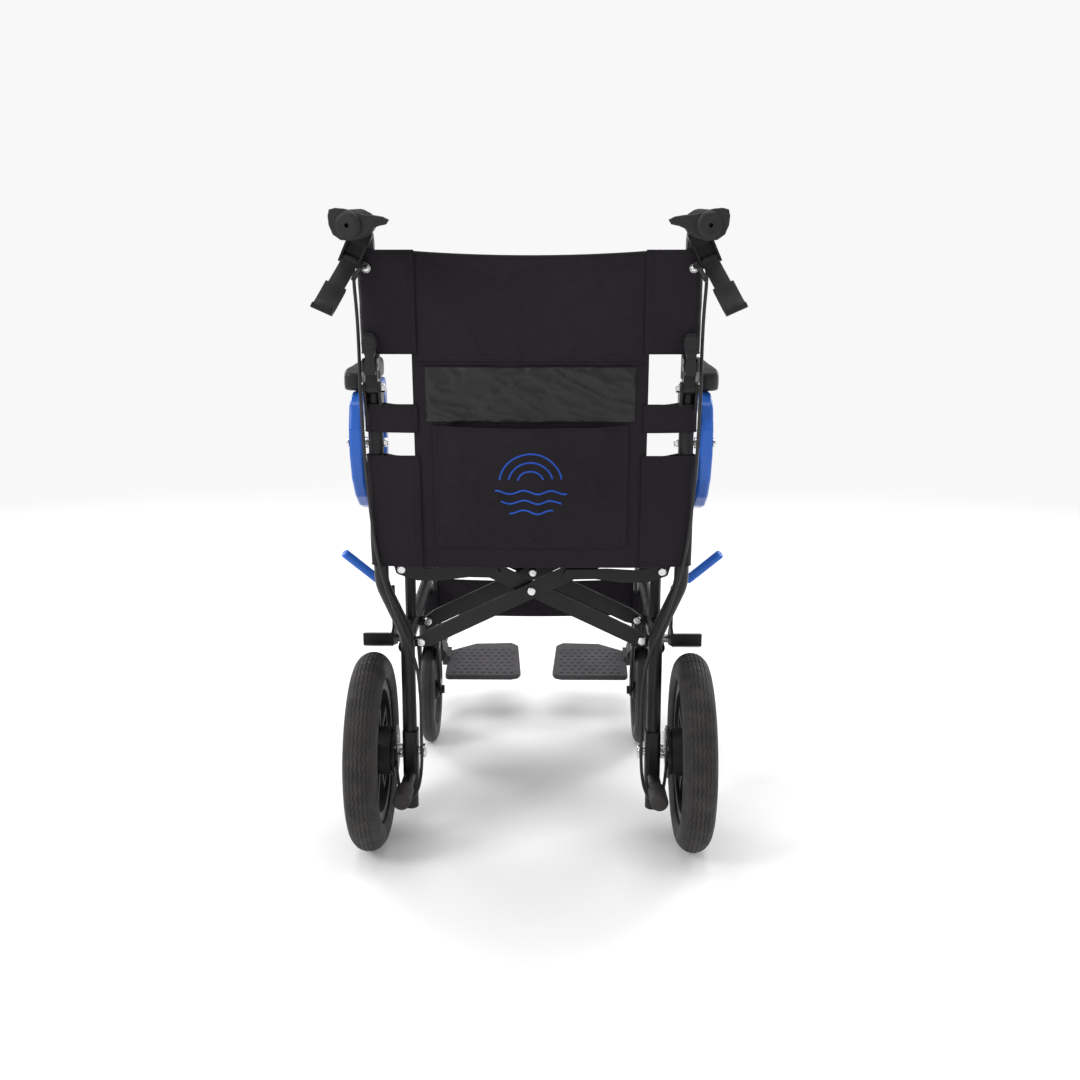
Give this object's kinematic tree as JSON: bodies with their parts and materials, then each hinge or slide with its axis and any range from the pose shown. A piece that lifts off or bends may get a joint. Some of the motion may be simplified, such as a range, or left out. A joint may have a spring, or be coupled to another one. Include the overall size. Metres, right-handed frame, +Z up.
{
  "type": "transport wheelchair",
  "caption": "Folding transport wheelchair with sling seat, half-folding back, flip-up armrests, hand brakes, casters and swing-away footrests.",
  "frame": {"origin": "middle of the bottom of the whole chair, on the floor", "axes": "+Z up; the chair faces -Y; +X is the user's left"},
  "size_m": [0.5982, 0.8568, 0.9777],
  "materials": {
    "black_frame_paint": "satin powder coat",
    "chrome": "polished",
    "tyre_rubber": "matt, slightly dusty",
    "caster_rubber": "matt",
    "grip_rubber": "matt",
    "black_plastic": "moulded",
    "grey_plastic": "moulded with raised dashes",
    "blue_paint": "gloss powder coat",
    "blue_vinyl": "dipped vinyl",
    "pad_skin": "integral-skin foam",
    "black_nylon": "woven nylon",
    "cable_sheath": "smooth"
  },
  "bodies": {
    "left_frame": {"left_side_frame": "black_frame_paint", "left_frame_bolts": "chrome", "left_hub_brake": "black_frame_paint", "left_tip_cap": "tyre_rubber", "left_brake_cable_lower": "cable_sheath", "back_cloth_lower": "black_nylon", "calf_strap": "black_nylon"},
    "left_back": {"left_upper_cane": "black_frame_paint", "left_hand_grip": "grip_rubber", "left_brake_bracket": "black_frame_paint", "left_brake_cable_upper": "cable_sheath", "back_cloth_upper": "black_nylon"},
    "left_release_paddle": {"left_release_paddle": "black_plastic"},
    "left_brake_lever": {"left_brake_lever": "black_plastic"},
    "left_lock_latch": {"left_lock_latch": "black_plastic"},
    "left_brake_arm": {"left_brake_arm": "black_frame_paint"},
    "left_armrest": {"left_armrest_frame": "blue_paint", "left_armrest_pad": "pad_skin"},
    "left_rear_wheel": {"left_wheel_spokes": "black_plastic", "left_rear_rim": "black_plastic", "left_rear_tyre": "tyre_rubber"},
    "left_caster_fork": {"left_caster_fork": "black_frame_paint"},
    "left_caster_wheel": {"left_caster_wheel": "caster_rubber"},
    "left_wheel_lock": {"left_wheel_lock_lever": "black_frame_paint", "left_wheel_lock_grip": "blue_vinyl"},
    "left_hanger": {"left_footrest_hanger": "black_frame_paint"},
    "left_footplate": {"left_footplate": "grey_plastic"},
    "left_link": {"left_link": "black_frame_paint"},
    "right_frame": {"right_side_frame": "black_frame_paint", "right_frame_bolts": "chrome", "right_hub_brake": "black_frame_paint", "right_tip_cap": "tyre_rubber", "right_brake_cable_lower": "cable_sheath"},
    "right_back": {"right_upper_cane": "black_frame_paint", "right_hand_grip": "grip_rubber", "right_brake_bracket": "black_frame_paint", "right_brake_cable_upper": "cable_sheath"},
    "right_release_paddle": {"right_release_paddle": "black_plastic"},
    "right_brake_lever": {"right_brake_lever": "black_plastic"},
    "right_lock_latch": {"right_lock_latch": "black_plastic"},
    "right_brake_arm": {"right_brake_arm": "black_frame_paint"},
    "right_armrest": {"right_armrest_frame": "blue_paint", "right_armrest_pad": "pad_skin"},
    "right_rear_wheel": {"right_wheel_spokes": "black_plastic", "right_rear_rim": "black_plastic", "right_rear_tyre": "tyre_rubber"},
    "right_caster_fork": {"right_caster_fork": "black_frame_paint"},
    "right_caster_wheel": {"right_caster_wheel": "caster_rubber"},
    "right_wheel_lock": {"right_wheel_lock_lever": "black_frame_paint", "right_wheel_lock_grip": "blue_vinyl"},
    "right_hanger": {"right_footrest_hanger": "black_frame_paint"},
    "right_footplate": {"right_footplate": "grey_plastic"},
    "right_link": {"right_link": "black_frame_paint"},
    "cross_arm_a": {"cross_arm_a": "black_frame_paint", "centre_bolts": "chrome", "right_seat_sling": "black_nylon"},
    "cross_arm_b": {"cross_arm_b": "black_frame_paint", "left_seat_sling": "black_nylon"}
  },
  "joints": [
    {"name": "frame_fold", "type": "hinge", "parent": "left_frame", "child": "cross_arm_a", "pos_m": [0.172, 0.245, 0.329], "axis": [0, 1, 0], "range_deg": [0, 54.24], "deforming": ["left_seat_sling", "right_seat_sling", "back_cloth_lower", "back_cloth_upper", "calf_strap"]},
    {"name": "arm_b_turn", "type": "hinge", "parent": "cross_arm_a", "child": "cross_arm_b", "pos_m": [0, 0.24, 0.412], "axis": [0, 1, 0], "range_deg": [-108.48, 0]},
    {"name": "right_frame_turn", "type": "hinge", "parent": "cross_arm_b", "child": "right_frame", "pos_m": [-0.172, 0.235, 0.329], "axis": [0, 1, 0], "range_deg": [0, 54.24]},
    {"name": "left_link_turn", "type": "hinge", "parent": "left_frame", "child": "left_link", "pos_m": [0.2, 0.243, 0.445], "axis": [0, 1, 0], "range_deg": [0, 72.21]},
    {"name": "right_link_turn", "type": "hinge", "parent": "right_frame", "child": "right_link", "pos_m": [-0.2, 0.2525, 0.445], "axis": [0, 1, 0], "range_deg": [-72.21, 0]},
    {"name": "left_back_fold", "type": "hinge", "parent": "left_frame", "child": "left_back", "pos_m": [0.227, 0.309, 0.731], "axis": [-1, 0, 0], "range_deg": [0, 140], "deforming": ["left_brake_cable_upper", "left_brake_cable_lower"]},
    {"name": "left_paddle_press", "type": "hinge", "parent": "left_back", "child": "left_release_paddle", "pos_m": [0.227, 0.325, 0.765], "axis": [1, 0, 0], "range_deg": [0, 6], "stiffness_Nm_per_rad": 0.05, "springref_deg": -11.46},
    {"name": "left_brake_lever_pull", "type": "hinge", "parent": "left_back", "child": "left_brake_lever", "pos_m": [0.24666, 0.343, 0.91129], "axis": [0.9121, 0, 0.41], "range_deg": [0, 16], "stiffness_Nm_per_rad": 0.6, "springref_deg": -17.19},
    {"name": "left_latch_turn", "type": "hinge", "parent": "left_back", "child": "left_lock_latch", "pos_m": [0.24666, 0.343, 0.91129], "axis": [0.9121, 0, 0.41], "range_deg": [0, 15]},
    {"name": "left_brake_arm_turn", "type": "hinge", "parent": "left_frame", "child": "left_brake_arm", "pos_m": [0.21, 0.289, 0.143], "axis": [1, 0, 0], "range_deg": [0, 8], "stiffness_Nm_per_rad": 0.02, "springref_deg": -11.46},
    {"name": "left_armrest_flip", "type": "hinge", "parent": "left_frame", "child": "left_armrest", "pos_m": [0.257, 0.283, 0.648], "axis": [-1, 0, 0], "range_deg": [0, 75]},
    {"name": "left_rear_wheel_spin", "type": "hinge", "parent": "left_frame", "child": "left_rear_wheel", "pos_m": [0.251, 0.265, 0.155], "axis": [1, 0, 0], "continuous": true},
    {"name": "left_caster_swivel", "type": "hinge", "parent": "left_frame", "child": "left_caster_fork", "pos_m": [0.2, -0.125, 0.25], "axis": [0, 0, -1], "continuous": true},
    {"name": "left_caster_spin", "type": "hinge", "parent": "left_caster_fork", "child": "left_caster_wheel", "pos_m": [0.2, -0.165, 0.1], "axis": [1, 0, 0], "continuous": true},
    {"name": "left_wheel_lock_press", "type": "hinge", "parent": "left_frame", "child": "left_wheel_lock", "pos_m": [0.222, 0.143, 0.302], "axis": [-1, 0, 0], "range_deg": [0, 12]},
    {"name": "left_hanger_swing", "type": "hinge", "parent": "left_frame", "child": "left_hanger", "pos_m": [0.2, -0.16, 0.36], "axis": [0, 0, 1], "range_deg": [0, 90]},
    {"name": "left_footplate_flip", "type": "hinge", "parent": "left_hanger", "child": "left_footplate", "pos_m": [0.2, -0.31, 0.108], "axis": [0, 0.9917, -0.1288], "range_deg": [0, 90.02]},
    {"name": "right_back_fold", "type": "hinge", "parent": "right_frame", "child": "right_back", "pos_m": [-0.227, 0.309, 0.731], "axis": [-1, 0, 0], "range_deg": [0, 140], "deforming": ["right_brake_cable_upper", "right_brake_cable_lower"]},
    {"name": "right_paddle_press", "type": "hinge", "parent": "right_back", "child": "right_release_paddle", "pos_m": [-0.227, 0.325, 0.765], "axis": [1, 0, 0], "range_deg": [0, 6], "stiffness_Nm_per_rad": 0.05, "springref_deg": -11.46},
    {"name": "right_brake_lever_pull", "type": "hinge", "parent": "right_back", "child": "right_brake_lever", "pos_m": [-0.24666, 0.343, 0.91129], "axis": [0.9121, 0, -0.41], "range_deg": [0, 16], "stiffness_Nm_per_rad": 0.6, "springref_deg": -17.19},
    {"name": "right_latch_turn", "type": "hinge", "parent": "right_back", "child": "right_lock_latch", "pos_m": [-0.24666, 0.343, 0.91129], "axis": [0.9121, 0, -0.41], "range_deg": [0, 15]},
    {"name": "right_brake_arm_turn", "type": "hinge", "parent": "right_frame", "child": "right_brake_arm", "pos_m": [-0.21, 0.289, 0.143], "axis": [1, 0, 0], "range_deg": [0, 8], "stiffness_Nm_per_rad": 0.02, "springref_deg": -11.46},
    {"name": "right_armrest_flip", "type": "hinge", "parent": "right_frame", "child": "right_armrest", "pos_m": [-0.257, 0.283, 0.648], "axis": [-1, 0, 0], "range_deg": [0, 75]},
    {"name": "right_rear_wheel_spin", "type": "hinge", "parent": "right_frame", "child": "right_rear_wheel", "pos_m": [-0.251, 0.265, 0.155], "axis": [1, 0, 0], "continuous": true},
    {"name": "right_caster_swivel", "type": "hinge", "parent": "right_frame", "child": "right_caster_fork", "pos_m": [-0.2, -0.125, 0.25], "axis": [0, 0, 1], "continuous": true},
    {"name": "right_caster_spin", "type": "hinge", "parent": "right_caster_fork", "child": "right_caster_wheel", "pos_m": [-0.2, -0.165, 0.1], "axis": [1, 0, 0], "continuous": true},
    {"name": "right_wheel_lock_press", "type": "hinge", "parent": "right_frame", "child": "right_wheel_lock", "pos_m": [-0.222, 0.143, 0.302], "axis": [-1, 0, 0], "range_deg": [0, 12]},
    {"name": "right_hanger_swing", "type": "hinge", "parent": "right_frame", "child": "right_hanger", "pos_m": [-0.2, -0.16, 0.36], "axis": [0, 0, -1], "range_deg": [0, 90]},
    {"name": "right_footplate_flip", "type": "hinge", "parent": "right_hanger", "child": "right_footplate", "pos_m": [-0.2, -0.31, 0.108], "axis": [0, -0.9917, 0.1288], "range_deg": [0, 90.02]}
  ],
  "couplings": [
    {"joint": "arm_b_turn", "follows": "frame_fold", "ratio": -2},
    {"joint": "right_frame_turn", "follows": "frame_fold", "ratio": 1},
    {"joint": "left_link_turn", "follows": "frame_fold", "ratio": 1.322},
    {"joint": "right_link_turn", "follows": "frame_fold", "ratio": -1.322},
    {"joint": "left_brake_arm_turn", "follows": "left_brake_lever_pull", "ratio": 0.5},
    {"joint": "left_footplate_flip", "follows": "frame_fold", "ratio": 1.6593},
    {"joint": "right_brake_arm_turn", "follows": "right_brake_lever_pull", "ratio": 0.5},
    {"joint": "right_footplate_flip", "follows": "frame_fold", "ratio": 1.6593},
    {"joint": "right_back_fold", "follows": "left_back_fold", "ratio": 1}
  ]
}
